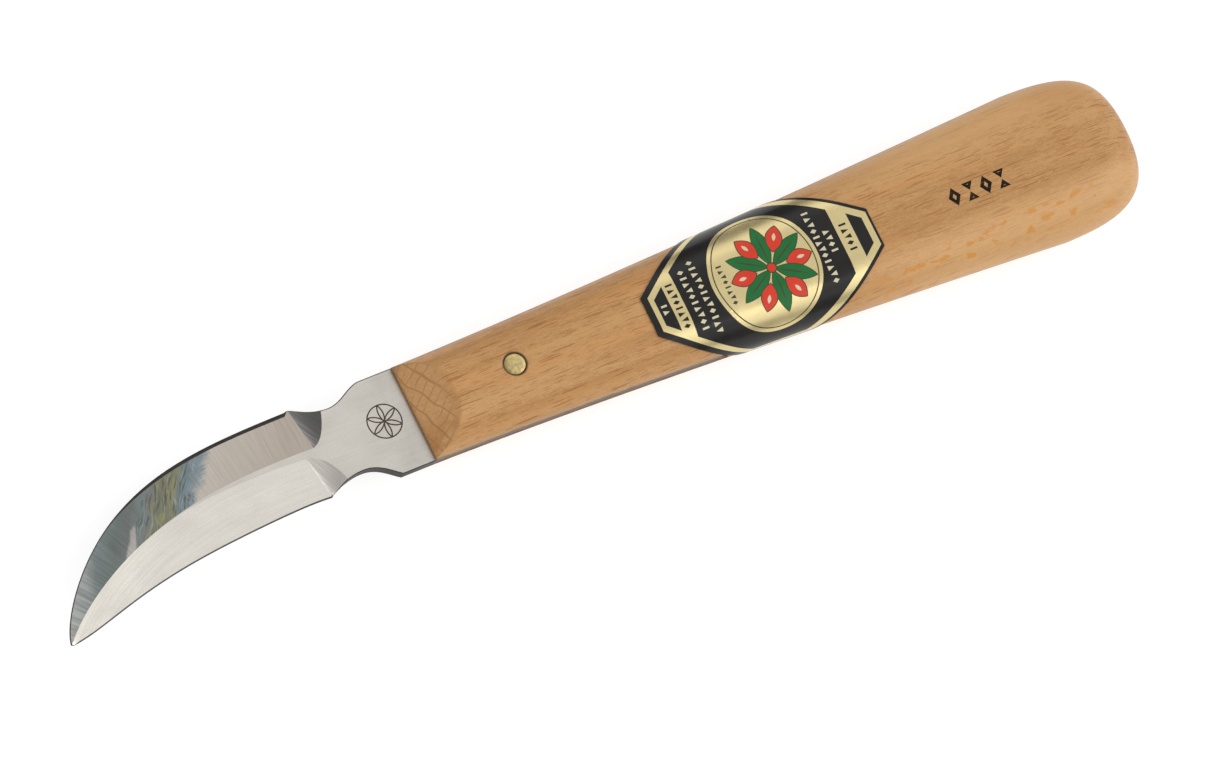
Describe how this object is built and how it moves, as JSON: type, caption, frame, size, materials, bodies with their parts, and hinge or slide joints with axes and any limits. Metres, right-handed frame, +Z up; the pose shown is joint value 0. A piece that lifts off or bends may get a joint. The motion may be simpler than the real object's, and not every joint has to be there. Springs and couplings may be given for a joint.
{
  "type": "chip carving knife",
  "caption": "Short woodcarving knife with a down-curved, two-bevel blade, notched ricasso, flush full-height tang, tapered beech handle, brass pin and wrapped foil label.",
  "frame": {"origin": "middle of the knife's box on the surface that it lies on, which is on the underside of the handle", "axes": "+X from the tip towards the butt, +Y towards the blade's back, +Z up through the handle's thickness, away from the surface that the knife lies on"},
  "size_m": [0.1736, 0.0236, 0.0116],
  "materials": {
    "blade_steel": "ground and partly mirror-polished bevels, satin ricasso with a small engraved mark",
    "handle_beech": "steamed beech, sanded and thinly lacquered, small black ink stamp near the butt",
    "pin_brass": "ground flush, lightly tarnished",
    "label_foil": null
  },
  "bodies": {
    "root": {"blade": "blade_steel", "handle": "handle_beech", "rivet": "pin_brass", "label": "label_foil"}
  },
  "joints": []
}
